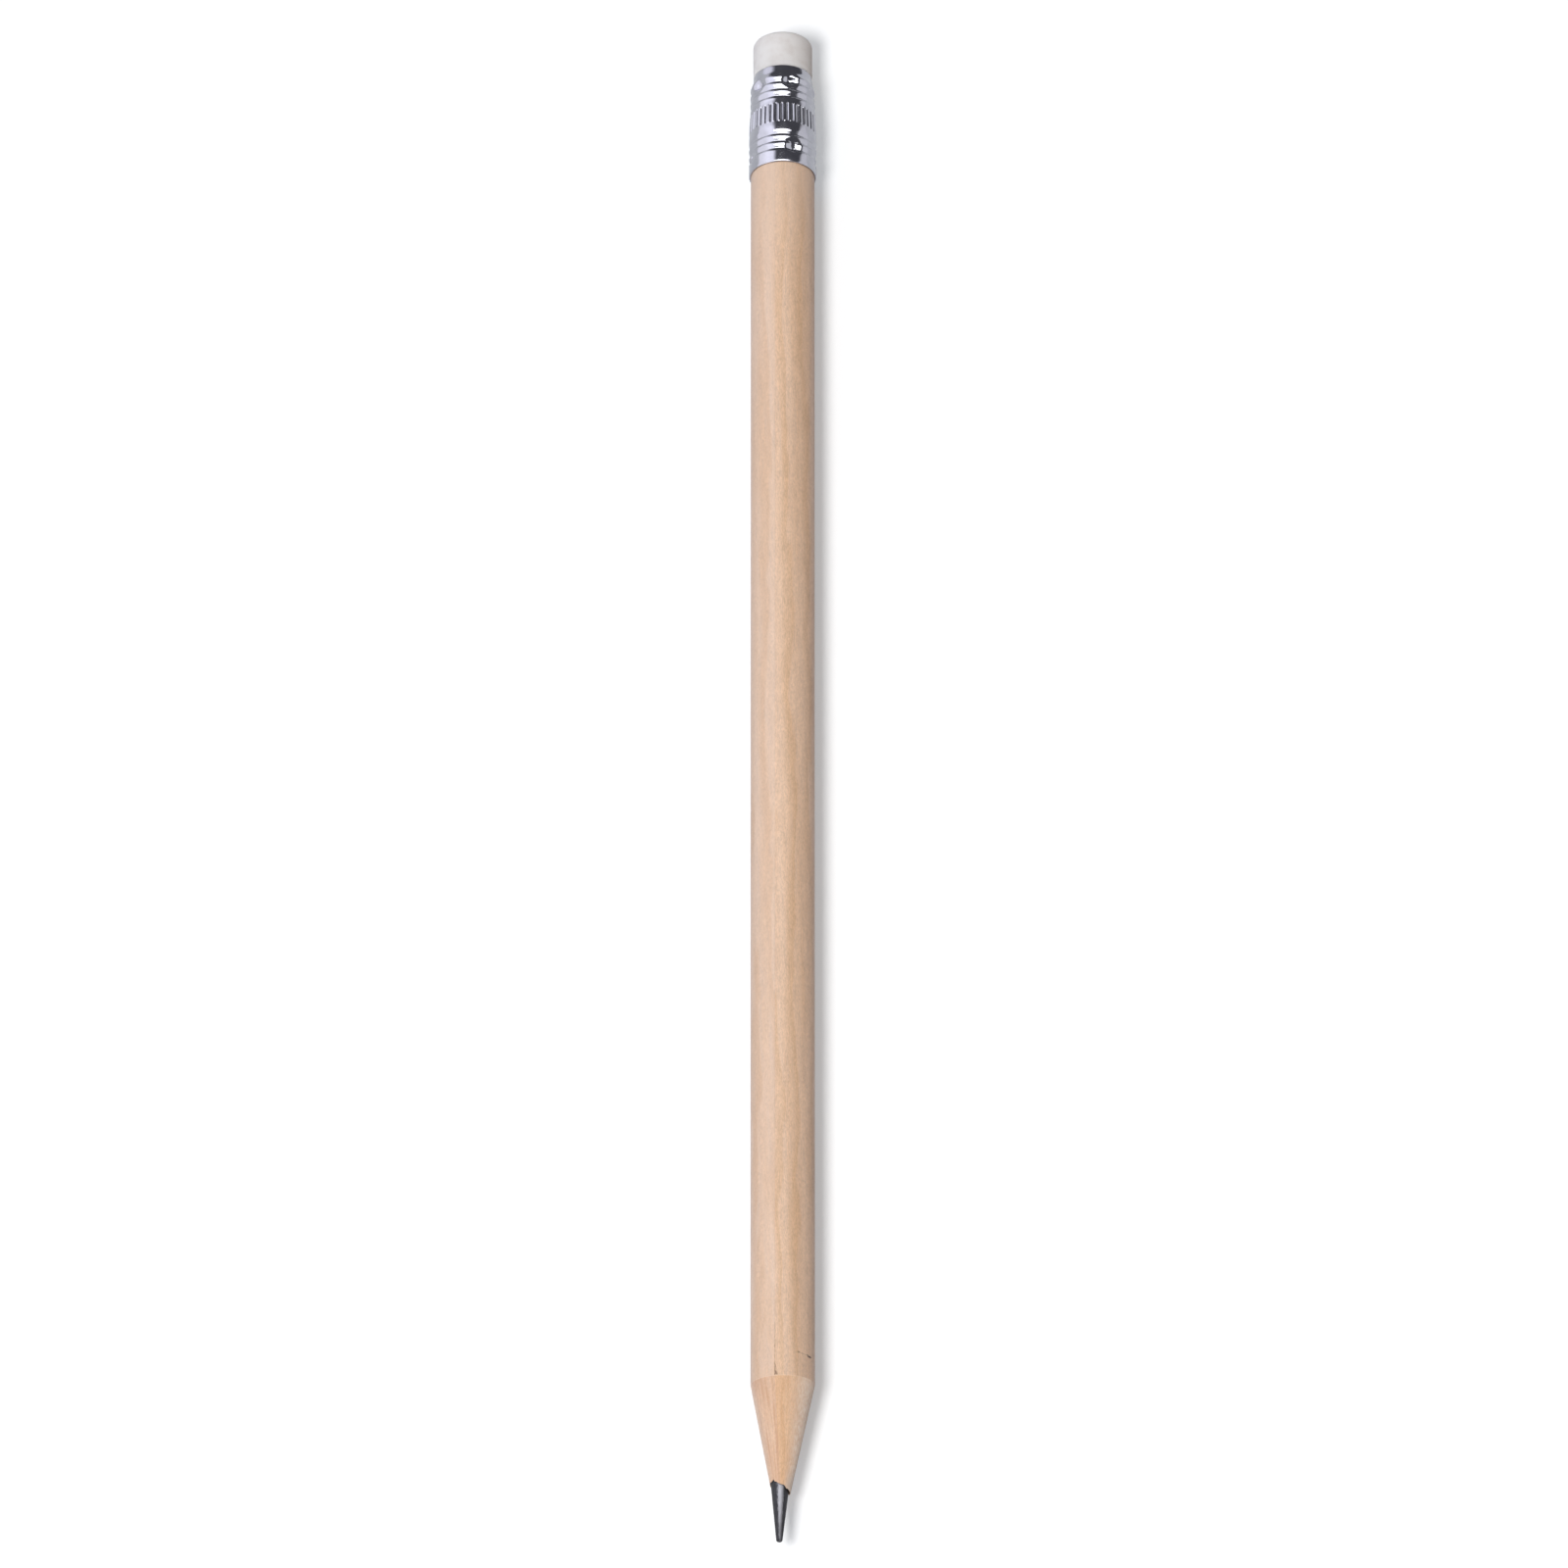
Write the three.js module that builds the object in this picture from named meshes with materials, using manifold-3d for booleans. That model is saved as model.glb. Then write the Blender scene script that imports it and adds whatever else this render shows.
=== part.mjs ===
// A round wood-cased pencil with a crimped metal ferrule and an eraser, in millimetres.
// It lies on its side: +Y runs along it from the point to the eraser and +Z is up.
// The origin is under the middle of its length, on the surface that it lies on.
// Each piece is made about the barrel's axis, with the tip of the point at y = 0.

import * as THREE from "three";
import { mergeVertices } from "three/addons/utils/BufferGeometryUtils.js";
import Module from "manifold-3d";

const wasm = await Module();
wasm.setup();

// Fits
const GLUE_LINE = 0.05; // film of glue, or clearance, between pieces that seat on each other

// Wooden barrel, glued up from two grooved slats
const BARREL_DIAMETER = 7;
const BARREL_LENGTH = 154; // from the sharpened shoulder to the ferrule's skirt
const SEAM_ROLL = -14; // degrees from the top line round to the glue seam
const TENON_STEP = 0.1; // how far the end that the ferrule slides over is turned down
const TENON_LENGTH = 6.2;

// Graphite core
const CORE_DIAMETER = 2.1;
const CORE_OFFSET = 0.3; // the groove runs this far to one side of the barrel's axis

// Sharpened point, which leans from the shoulder so that its tip is on the core's own axis
const SHARPENED_LENGTH = 19.2; // from the tip to the shoulder
const LEAD_POINT_LENGTH = 6.7; // bare graphite beyond the wood
const TIP_DIAMETER = 0.72;
const TIP_ROUNDING = 0.18;

// Eraser
const ERASER_DIAMETER = 6.5;
const ERASER_EXPOSED = 4.5; // beyond the ferrule's lip
const ERASER_EDGE_ROUNDING = 0.7;

// Ferrule, a sleeve of thin sheet, by stretches from its skirt to its lip
const SHEET_THICKNESS = 0.25;
const SKIRT_LENGTH = 1.65;
const RIB_COUNT = 3; // rolled grooves in the wood's grip and as many in the eraser's
const RIB_PITCH = 0.92;
const RIB_DEPTH = 0.09;
const LOWER_LAND_LENGTH = 0.95;
const FLUTE_LENGTH = 2.5;
const UPPER_LAND_LENGTH = 0.6;
const NECK_STEP_LENGTH = 0.5;
const NECK_LENGTH = 1;
const NECK_SQUEEZE = 0.3; // how far the lip is rolled in on the eraser
const FLUTE_COUNT = 36;
const FLUTE_WIDTH = 0.26;
const FLUTE_DEPTH = 0.13;
const FLUTE_PHASE = -1.5; // degrees from the top line to the nearest flute

// Punch marks that lock the sleeve into the wood and the eraser
const PUNCH_DIAMETER = 1.3;
const PUNCH_DEPTH = 0.32;
const WOOD_PUNCH_RISE = 0.55; // from the start of the wood's ribs up to its marks
const ERASER_PUNCH_DROP = 0.72; // from the end of the eraser's ribs down to its marks
const WOOD_PUNCH_ANGLES = [-72, 20, 78, 149, 219]; // degrees round from the top line
const ERASER_PUNCH_ANGLES = [-49, 15, 79, 137, 195, 253];

// Facets
const AROUND = 48;
const CORE_AROUND = 24;
const PUNCH_AROUND = 10;
const FLUTE_END_STEPS = 3;
const ROUNDING_STEPS = 4;
const STEP_STEPS = 3;

// Heights along the barrel's axis
const SKIRT_EDGE = SHARPENED_LENGTH + BARREL_LENGTH;
const LOWER_RIBS = SKIRT_EDGE + SKIRT_LENGTH;
const LOWER_RIBS_END = LOWER_RIBS + RIB_COUNT * RIB_PITCH;
const FLUTES = LOWER_RIBS_END + LOWER_LAND_LENGTH;
const UPPER_RIBS = FLUTES + FLUTE_LENGTH + UPPER_LAND_LENGTH;
const UPPER_RIBS_END = UPPER_RIBS + RIB_COUNT * RIB_PITCH;
const NECK = UPPER_RIBS_END + NECK_STEP_LENGTH;
const LIP = NECK + NECK_LENGTH;
const TENON_END = SKIRT_EDGE + TENON_LENGTH;
const OVERALL_LENGTH = LIP + ERASER_EXPOSED;

// Radii
const BARREL_RADIUS = BARREL_DIAMETER / 2;
const CORE_RADIUS = CORE_DIAMETER / 2;
const BORE_RADIUS = CORE_RADIUS + GLUE_LINE;
const ERASER_RADIUS = ERASER_DIAMETER / 2;
const TENON_RADIUS = BARREL_RADIUS - TENON_STEP;
const SKIRT_RADIUS = TENON_RADIUS + GLUE_LINE + SHEET_THICKNESS;
const UPPER_SLEEVE_RADIUS = ERASER_RADIUS + GLUE_LINE + SHEET_THICKNESS;
const FACET_REACH = Math.cos(Math.PI / AROUND); // from a polygon's corners to the middle of its sides

const radians = THREE.MathUtils.degToRad;

// A closed geometry as a solid that can be joined and cut.
function toSolid(geometry) {
  const bare = new THREE.BufferGeometry();
  bare.setAttribute("position", geometry.getAttribute("position"));
  bare.setIndex(geometry.index);
  const merged = mergeVertices(bare);
  return new wasm.Manifold(
    new wasm.Mesh({
      numProp: 3,
      vertProperties: new Float32Array(merged.getAttribute("position").array),
      triVerts: new Uint32Array(merged.index.array),
    }),
  );
}

function toGeometry(solid) {
  const mesh = solid.getMesh();
  const geometry = new THREE.BufferGeometry();
  geometry.setAttribute("position", new THREE.BufferAttribute(mesh.vertProperties, 3));
  geometry.setIndex(new THREE.BufferAttribute(mesh.triVerts, 1));
  const flat = geometry.toNonIndexed();
  flat.computeVertexNormals();
  return flat;
}

// Turns a profile of [radius, height] points about the barrel's axis, with a flat side facing down.
function turned(profile, around = AROUND) {
  const points = profile.map(([radius, height]) => new THREE.Vector2(radius, height));
  return new THREE.LatheGeometry(points, around, Math.PI / around);
}

// A quarter round from the side of a turned piece over on to its end, as profile points.
function roundedEnd(radius, end, rounding, direction) {
  const points = [];
  for (let step = 0; step <= ROUNDING_STEPS; step += 1) {
    const turn = (step / ROUNDING_STEPS) * (Math.PI / 2);
    const inset = rounding * (1 - Math.cos(turn));
    const rise = rounding * (1 - Math.sin(turn));
    points.push([radius - inset, end - direction * rise]);
  }
  return points;
}

// Leans the sharpened end sideways, evenly from the shoulder to the tip.
function lean(geometry) {
  const position = geometry.getAttribute("position");
  for (let i = 0; i < position.count; i += 1) {
    const beyondShoulder = Math.max(0, SHARPENED_LENGTH - position.getY(i));
    const shift = (CORE_OFFSET * beyondShoulder) / SHARPENED_LENGTH;
    position.setX(i, position.getX(i) - shift);
  }
  return geometry;
}

// Depth of the rolled grooves at a height: one smooth dip for each pitch.
function ribDepth(height) {
  for (const [start, end] of [[LOWER_RIBS, LOWER_RIBS_END], [UPPER_RIBS, UPPER_RIBS_END]]) {
    if (height > start && height < end) {
      const turn = (2 * Math.PI * (height - start)) / RIB_PITCH;
      return (RIB_DEPTH * (1 - Math.cos(turn))) / 2;
    }
  }
  return 0;
}

// Outside radius of the sleeve: straight skirt, a taper to the eraser's grip, then the rolled-in neck.
function sleeveRadius(height) {
  const taper = THREE.MathUtils.clamp(
    (height - LOWER_RIBS_END) / (UPPER_RIBS - LOWER_RIBS_END),
    0,
    1,
  );
  const squeeze = NECK_SQUEEZE * THREE.MathUtils.smoothstep(height, UPPER_RIBS_END, NECK);
  const plain = THREE.MathUtils.lerp(SKIRT_RADIUS, UPPER_SLEEVE_RADIUS, taper);
  return plain - ribDepth(height) - squeeze;
}

// Heights at which the sleeve's shape is followed, with some steps to each rib.
function sleeveHeights(stepsPerRib) {
  const heights = [SKIRT_EDGE];
  for (const start of [LOWER_RIBS, UPPER_RIBS]) {
    for (let step = 0; step <= RIB_COUNT * stepsPerRib; step += 1) {
      heights.push(start + (step * RIB_PITCH) / stepsPerRib);
    }
  }
  for (let step = 1; step <= STEP_STEPS; step += 1) {
    heights.push(UPPER_RIBS_END + (step * NECK_STEP_LENGTH) / STEP_STEPS);
  }
  heights.push(LIP);
  return heights;
}

// The space inside the sleeve between two heights, as profile points less a clearance.
function insideSleeve(from, to, clearance) {
  const between = sleeveHeights(2).filter((height) => height > from && height < to);
  return [from, ...between, to].map((height) => [
    sleeveRadius(height) - SHEET_THICKNESS - clearance,
    height,
  ]);
}

const PUNCHES = [
  ...WOOD_PUNCH_ANGLES.map((angle) => ({ angle, height: LOWER_RIBS + WOOD_PUNCH_RISE })),
  ...ERASER_PUNCH_ANGLES.map((angle) => ({ angle, height: UPPER_RIBS_END - ERASER_PUNCH_DROP })),
];

// The cone that a punch presses towards the axis, grown all over by an offset, up to a top radius.
function punchCone({ angle, height }, offset, top) {
  const flare = PUNCH_DIAMETER / 2 / PUNCH_DEPTH;
  const apex = sleeveRadius(height) - PUNCH_DEPTH - (offset * Math.hypot(1, flare)) / flare;
  const cone = new THREE.ConeGeometry((top - apex) * flare, top - apex, PUNCH_AROUND);
  cone.rotateX(-Math.PI / 2);
  cone.translate(0, height, (top + apex) / 2);
  cone.rotateY(radians(angle));
  return toSolid(cone);
}

// The mark that a punch leaves outside, cut from well clear of the sleeve.
function punchMark(punch) {
  return punchCone(punch, 0, 2 * SKIRT_RADIUS);
}

// The sheet that a punch pushes in, from the inner crests of the ribs.
function punchBump(punch) {
  const inside = sleeveRadius(punch.height) - SHEET_THICKNESS;
  return punchCone(punch, SHEET_THICKNESS, inside + RIB_DEPTH);
}

// The room that the wood and the eraser make for that sheet.
function punchPocket(punch) {
  return punchCone(punch, SHEET_THICKNESS + GLUE_LINE, 2 * SKIRT_RADIUS);
}

// One pressed flute: a slot with round ends, cut from outside the sleeve.
function fluteSlot(index) {
  const halfWidth = FLUTE_WIDTH / 2;
  const straight = FLUTE_LENGTH / 2 - halfWidth;
  const outline = new THREE.Shape();
  outline.absarc(0, straight, halfWidth, 0, Math.PI);
  outline.absarc(0, -straight, halfWidth, Math.PI, 2 * Math.PI);
  const slot = new THREE.ExtrudeGeometry(outline, {
    depth: SKIRT_RADIUS,
    bevelEnabled: false,
    curveSegments: FLUTE_END_STEPS,
  });
  const middle = FLUTES + FLUTE_LENGTH / 2;
  slot.translate(0, middle, sleeveRadius(middle) - FLUTE_DEPTH);
  slot.rotateY(radians(FLUTE_PHASE + (index * 360) / FLUTE_COUNT));
  return toSolid(slot);
}

// Wood: cone, barrel and tenon in one turning, bored for the core, then parted at the seam.
function turnedCasing() {
  const slope = (BARREL_RADIUS - CORE_RADIUS) / (SHARPENED_LENGTH - LEAD_POINT_LENGTH);
  const noseRadius = CORE_RADIUS - CORE_OFFSET; // lies inside the bore all round
  const nose = LEAD_POINT_LENGTH - (CORE_RADIUS - noseRadius) / slope;
  const blank = toSolid(
    lean(
      turned([
        [0, nose],
        [noseRadius, nose],
        [BARREL_RADIUS, SHARPENED_LENGTH],
        [BARREL_RADIUS, SKIRT_EDGE - GLUE_LINE],
        ...insideSleeve(SKIRT_EDGE - GLUE_LINE, TENON_END, GLUE_LINE),
        [0, TENON_END],
      ]),
    ),
  );
  const bore = new THREE.CylinderGeometry(BORE_RADIUS, BORE_RADIUS, OVERALL_LENGTH, CORE_AROUND);
  bore.translate(-CORE_OFFSET, OVERALL_LENGTH / 2, 0);
  return PUNCHES.reduce(
    (casing, punch) => casing.subtract(punchPocket(punch)),
    blank.subtract(toSolid(bore)),
  );
}

// The half of the casing on one side of the glue seam: -1 for the left slat, 1 for the right one.
function slat(casing, side) {
  const half = new THREE.BoxGeometry(BARREL_DIAMETER, OVERALL_LENGTH, 2 * BARREL_DIAMETER);
  half.translate((side * (BARREL_DIAMETER + GLUE_LINE)) / 2, OVERALL_LENGTH / 2, 0);
  half.rotateY(radians(SEAM_ROLL));
  return casing.intersect(toSolid(half));
}

// Graphite: a straight rod in the groove, with its bare end cut to a slimmer cone than the wood.
function graphiteCore() {
  const slope = (BARREL_RADIUS - CORE_RADIUS) / (SHARPENED_LENGTH - LEAD_POINT_LENGTH);
  const cut = toSolid(
    lean(
      turned(
        [
          [0, 0],
          ...roundedEnd(TIP_DIAMETER / 2, 0, TIP_ROUNDING, -1).reverse(),
          [CORE_RADIUS, LEAD_POINT_LENGTH],
          [BARREL_RADIUS, LEAD_POINT_LENGTH + (BARREL_RADIUS - CORE_RADIUS) / slope],
          [BARREL_RADIUS, TENON_END],
          [0, TENON_END],
        ],
        CORE_AROUND,
      ),
    ),
  );
  const rod = new THREE.CylinderGeometry(CORE_RADIUS, CORE_RADIUS, OVERALL_LENGTH, CORE_AROUND);
  rod.translate(-CORE_OFFSET, OVERALL_LENGTH / 2, 0);
  return cut.intersect(toSolid(rod));
}

// Eraser: a plug on the end of the wood, pinched by ribs, punches and neck, swelling past the lip.
function eraserPlug() {
  const plug = toSolid(
    turned([
      [0, TENON_END + GLUE_LINE],
      ...insideSleeve(TENON_END + GLUE_LINE, LIP + GLUE_LINE, GLUE_LINE),
      [ERASER_RADIUS, LIP + GLUE_LINE],
      ...roundedEnd(ERASER_RADIUS, OVERALL_LENGTH, ERASER_EDGE_ROUNDING, 1),
      [0, OVERALL_LENGTH],
    ]),
  );
  return PUNCHES.reduce((rubber, punch) => rubber.subtract(punchPocket(punch)), plug);
}

// Ferrule: the sleeve's outer and inner skins, then its punch marks and flutes.
function crimpedFerrule() {
  const outer = sleeveHeights(4).map((height) => [sleeveRadius(height), height]);
  const inner = insideSleeve(SKIRT_EDGE, LIP, 0).reverse();
  let sleeve = toSolid(turned([...outer, ...inner, outer[0]]));
  for (const punch of PUNCHES) {
    sleeve = sleeve.add(punchBump(punch)).subtract(punchMark(punch));
  }
  for (let index = 0; index < FLUTE_COUNT; index += 1) {
    sleeve = sleeve.subtract(fluteSlot(index));
  }
  return sleeve;
}

const paleWood = new THREE.MeshStandardMaterial({ color: 0xd9b99d, roughness: 0.75 });
const warmWood = new THREE.MeshStandardMaterial({ color: 0xd3ad8a, roughness: 0.75 });
const graphite = new THREE.MeshStandardMaterial({ color: 0x45464a, roughness: 0.35, metalness: 0.3 });
const bareMetal = new THREE.MeshStandardMaterial({ color: 0xc9c9d2, roughness: 0.2, metalness: 1 });
const whiteRubber = new THREE.MeshStandardMaterial({ color: 0xe4e1df, roughness: 0.85 });

function piece(name, solid, material) {
  const mesh = new THREE.Mesh(toGeometry(solid), material);
  mesh.name = name;
  return mesh;
}

const casing = turnedCasing();
const pencil = new THREE.Group();
pencil.add(piece("slat_left", slat(casing, -1), paleWood));
pencil.add(piece("slat_right", slat(casing, 1), warmWood));
pencil.add(piece("graphite_core", graphiteCore(), graphite));
pencil.add(piece("ferrule", crimpedFerrule(), bareMetal));
pencil.add(piece("eraser", eraserPlug(), whiteRubber));
pencil.position.set(0, -OVERALL_LENGTH / 2, SKIRT_RADIUS * FACET_REACH);

export default pencil;
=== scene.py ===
"""A round wood-cased pencil, finished: two slats of bare wood, a graphite point, a crimped bright ferrule
and a white eraser. It lies on a pale floor with its point towards the camera. Lengths are in metres."""

import math

import bpy
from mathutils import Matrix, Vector


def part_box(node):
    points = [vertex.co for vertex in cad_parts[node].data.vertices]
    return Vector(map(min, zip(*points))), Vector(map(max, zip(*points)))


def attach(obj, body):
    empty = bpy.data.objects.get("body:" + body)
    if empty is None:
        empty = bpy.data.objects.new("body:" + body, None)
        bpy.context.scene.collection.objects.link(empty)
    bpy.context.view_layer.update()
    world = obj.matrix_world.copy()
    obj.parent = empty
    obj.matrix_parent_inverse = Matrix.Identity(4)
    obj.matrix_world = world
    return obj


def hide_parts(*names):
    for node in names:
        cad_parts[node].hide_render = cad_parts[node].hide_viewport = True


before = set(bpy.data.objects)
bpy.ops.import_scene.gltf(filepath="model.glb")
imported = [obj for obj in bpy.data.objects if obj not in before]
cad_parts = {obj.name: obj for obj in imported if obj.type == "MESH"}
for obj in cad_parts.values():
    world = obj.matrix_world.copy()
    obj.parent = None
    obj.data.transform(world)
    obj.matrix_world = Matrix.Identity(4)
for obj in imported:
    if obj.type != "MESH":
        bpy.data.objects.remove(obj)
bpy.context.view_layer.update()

MM = 0.001
SAME_PLACE = 0.001 * MM

# Places along the pencil, from the frame
TIP_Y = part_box("graphite_core")[0][1]
SKIRT_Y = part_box("ferrule")[0][1]
LIP_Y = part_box("ferrule")[1][1]
END_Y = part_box("eraser")[1][1]
TENON_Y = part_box("slat_right")[1][1]
AXIS_Z = (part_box("ferrule")[0][2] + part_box("ferrule")[1][2]) / 2

# Wood
BARREL_RADIUS = 3.5 * MM
TENON_RADIUS = 3.4 * MM
SKIRT_CLEARANCE = 0.02 * MM
SHOULDER_Y = TIP_Y + 19.6 * MM
SHOULDER_SLANT = 0.19
NOSE_Y = TIP_Y + 6.6 * MM
NOSE_RADIUS = 1.12 * MM
NOSE_EDGE = 0.02 * MM
NOSE_SLANT = 0.52
BORE_RADIUS = 1.09 * MM
CORE_X = -0.27 * MM
SEAM_ROLL = math.radians(-14)
SEAM_GAP = 0.003 * MM
SEAM_THRESHOLD = 0.0001 * MM
WOOD_CORNERS = 120
WOOD_SMOOTHING = 8
CONE_CUTS = 60
CONE_MARGIN = 1 * MM

# Rings of the turned wood, by height over the ferrule's skirt and over the shoulder
TENON_RINGS = [step * 0.4 * MM for step in range(15, -1, -1)]
SHOULDER_RINGS = [step * 0.25 * MM for step in range(24, 3, -1)]

# Jags in the nose of the cut wood, by angle round from the top line, rise and reach
NOSE_JAGS = (
    (-41, 0.42, 0.4),
    (-24, 0.12, 0.3),
    (22, 0.16, 0.5),
    (37, -0.14, 0.3),
    (70, -0.06, 0.3),
    (128, 0.2, 0.4),
    (171, -0.16, 0.4),
    (214, 0.24, 0.5),
    (245, -0.12, 0.4),
)

# Graphite, whose worn tip is given by rise and by share of its radius
CORE_RADIUS = 1.05 * MM
LEAD_CONE_Y = TIP_Y + 7.4 * MM
LEAD_BLUNT_Y = TIP_Y + 0.2 * MM
LEAD_CORNERS = 64
LEAD_STEPS = 40
LEAD_SMOOTHING = 40
TIP_X = -0.36 * MM
TIP_RADIUS = 0.35 * MM
TIP_WEAR = ((0.11, 0.94), (0.04, 0.78), (0.0, 0.48), (-0.01, 0.2))

# Ferrule, by stretches from its skirt to its lip
SHEET = 0.25 * MM
SHEET_SMOOTHING = 60
EDGE_ROUNDING = 0.06 * MM
SKIRT_RADIUS = 3.7 * MM
GRIP_RADIUS = 3.55 * MM
NECK_RADIUS = 3.25 * MM
SKIRT_LENGTH = 1.42 * MM
SKIRT_RINGS = (0.3 * MM, 1.1 * MM)
RIB_COUNT = 3
RIB_PITCH = 0.92 * MM
RIB_DEPTH = 0.13 * MM
LOWER_LAND = 0.95 * MM
FLUTE_LENGTH = 2.5 * MM
UPPER_LAND = 0.6 * MM
UPPER_LAND_EDGE = 0.25 * MM
NECK_STEP = 0.9 * MM
NECK_EDGE = 0.12 * MM
NECK_TAPER = 0.07 * MM
NECK_BEND = 0.3 * MM
NECK_BEND_TAPER = 0.8 * NECK_TAPER
LIP_RADIUS = NECK_RADIUS - NECK_TAPER
LOWER_RIBS_Y = SKIRT_Y + SKIRT_LENGTH
LOWER_RIBS_END_Y = LOWER_RIBS_Y + RIB_COUNT * RIB_PITCH
FLUTES_Y = LOWER_RIBS_END_Y + LOWER_LAND
FLUTES_END_Y = FLUTES_Y + FLUTE_LENGTH
UPPER_RIBS_Y = FLUTES_END_Y + UPPER_LAND
UPPER_RIBS_END_Y = UPPER_RIBS_Y + RIB_COUNT * RIB_PITCH
NECK_Y = UPPER_RIBS_END_Y + NECK_STEP

# A rib's groove by share of its pitch and of its depth: a short drop, then a long round bead
RIB_DROP = ((0.06, 0.06), (0.15, 0.3), (0.26, 0.74), (0.34, 0.97), (0.39, 1.0))
RIB_BEAD = ((0.44, 0.93), (0.55, 0.67), (0.68, 0.4), (0.8, 0.19), (0.91, 0.06), (1.0, 0.0))

# The step to the neck, by share of its length and how far in the sheet has come
NECK_CURVE = ((0.12, 0.02), (0.35, 0.09), (0.5, 0.15), (0.65, 0.21), (0.88, 0.28))

# Flutes: their places along the sleeve, its narrowing there, and their walls by width and share of depth
FLUTE_COUNT = 36
FLUTE_COLUMNS = 4
FLUTE_PHASE = math.radians(-1.5)
FLUTE_DEPTH = 0.1 * MM
FLUTE_RISE = 0.025 * MM
FLUTE_RINGS = (0, 0.1, 0.3, 0.7, 0.9, 1)
NARROWED_BEFORE = 0.2
NARROWED_ALONG = 0.65
FLUTE_WALL = ((0.03, 0), (0.04, 0.35), (0.05, 0.45), (0.025, 0.2))

# Faint waves of the pressed sheet
WAVE_SIZE = 1.4 * MM
WAVE_HEIGHT = 0.03 * MM

# Punch marks, by their angles round from the top line
PUNCH_REACH = 1.2 * MM
PUNCH_DEPTH = 0.38 * MM
PUNCH_FLAT = 0.5 * MM
PUNCH_FLATTENING = 8
PUNCH_CORNERS = (30, 150, 270)
PUNCH_CORNER_REACH = 0.45 * MM
PUNCH_CORNER_DEPTH = 0.07 * MM
PUNCH_CORNER_OFFSET = 0.28 * MM
WOOD_PUNCH_Y = LOWER_RIBS_Y + 0.68 * MM
ERASER_PUNCH_Y = UPPER_RIBS_END_Y - 0.4 * MM
WOOD_PUNCH_ANGLES = (-72, 20, 78, 149, 219)
ERASER_PUNCH_ANGLES = (-49, 14, 79, 137, 195, 253)

# Eraser, whose swelling past the lip is given by rise and inset, and its crown by rise and radius
ERASER_RADIUS = 3.23 * MM
ERASER_SEAT = 0.1 * MM
ERASER_CLEARANCE = 0.05 * MM
ERASER_ROUNDING = 0.7 * MM
ERASER_CORNERS = 96
ERASER_SMOOTHING = 40
ROUNDING_STEPS = 8
GRIPPED_RINGS = [step * 0.3 * MM for step in range(9)]
ERASER_SWELL = ((0.04, 0.1), (0.15, 0.02), (0.5, 0), (1.2, 0), (1.9, 0), (2.6, 0))
ERASER_CROWN = ((0.01, 1.6), (0.02, 0.8))

# Grain, which drifts round the barrel as it runs along it
GRAIN_SEED = 1
GRAIN_DRIFT = math.radians(1.8)
RING_PITCH = 2.1 * MM
RING_TURN = math.radians(12)
LEFT_RING_X = 0.4 * MM
RIGHT_RING_X = 0.6 * MM
CUT_CONTRAST = 0.9
SEAM_FADE = 10 * MM
BLEACHED_LENGTH = 14 * MM
DUST_LENGTH = 2.4 * MM

# Nicks by angle, distance from the tip, width, length, turn and depth of shade
NICKS = (
    (-11.5, 19.2, 0.3, 0.8, 14, 0.6),
    (-12.5, 19.9, 0.16, 1.0, 6, 0.35),
    (56.5, 22.04, 0.95, 0.3, 15, 1),
    (51, 22.1, 0.4, 0.22, -10, 0.8),
    (29.6, 22.05, 0.45, 0.32, 0, 0.5),
    (42, 22.02, 1.8, 0.12, 0, 0.35),
)


def tone(red, green, blue):
    """A colour from its display values, 0 to 255, as the shaders take it."""
    return tuple(((value / 255 + 0.055) / 1.055) ** 2.4 for value in (red, green, blue)) + (1.0,)


# Pale, warm and dull wood, and the ochre of growth rings
LEFT_PLANED = (tone(232, 203, 180), tone(226, 193, 165), tone(220, 195, 178), tone(214, 176, 142))
RIGHT_PLANED = (tone(234, 201, 173), tone(225, 188, 155), tone(218, 188, 165), tone(208, 166, 122))
LEFT_CUT = (tone(231, 197, 169), tone(222, 183, 152), tone(227, 197, 175), tone(202, 154, 120))
RIGHT_CUT = (tone(232, 193, 157), tone(226, 184, 147), tone(230, 196, 166), tone(210, 163, 121))
BLEACHED_TONE = tone(226, 201, 181)
SEAM_TONE = tone(140, 102, 74)
NICK_TONE = tone(82, 58, 48)
# Pale fibres of the cone's rim, also painted as light on the cone's right side
PALE_FUZZ_AND_LIGHT_TONE = tone(250, 232, 216)
DUST_TONE = tone(208, 190, 176)

# Graphite, sheet and rubber
DARK_LEAD = tone(44, 44, 47)
GREY_LEAD = tone(64, 64, 68)
# The light grey of the lead's bands is a painted highlight, partly burnish
BURNISH_AND_HIGHLIGHT_LEAD = tone(162, 162, 168)
DULL_SHEET = tone(195, 195, 203)
BRIGHT_SHEET = tone(203, 203, 210)
CLEAN_RUBBER = tone(229, 227, 226)
DULL_RUBBER = tone(221, 217, 215)
RUBBER_SPECK = tone(208, 190, 185)

# Floor, as it is seen and as it throws light back
FLOOR_SIZE = 6
FLOOR_TONE = tone(243, 243, 243)
FLOOR_BOUNCE = tone(180, 180, 182)
FLOOR_GLOW = 0.25
FLOOR_GLOW_COLOUR = (0.88, 0.95, 1, 1)

# Room, as the metal mirrors it and as it lights the rest
MIRRORED_FAR_LEFT = (1.1, 1.1, 1.2, 1)
MIRRORED_LEFT = (1.35, 1.35, 1.5, 1)
MIRRORED_FRONT = (0.5, 0.5, 0.53, 1)
MIRRORED_DARK = (0.08, 0.08, 0.09, 1)
MIRRORED_RIGHT = (0.77, 0.77, 0.81, 1)
FILL_FAR_LEFT = (0.62, 0.62, 0.7, 1)
FILL_LEFT = (0.26, 0.26, 0.27, 1)
FILL_MIDDLE = (0.3, 0.3, 0.31, 1)
FILL_RIGHT = (0.31, 0.25, 0.2, 1)
FILL_BACK = (0.7, 0.7, 0.72, 1)

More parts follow.
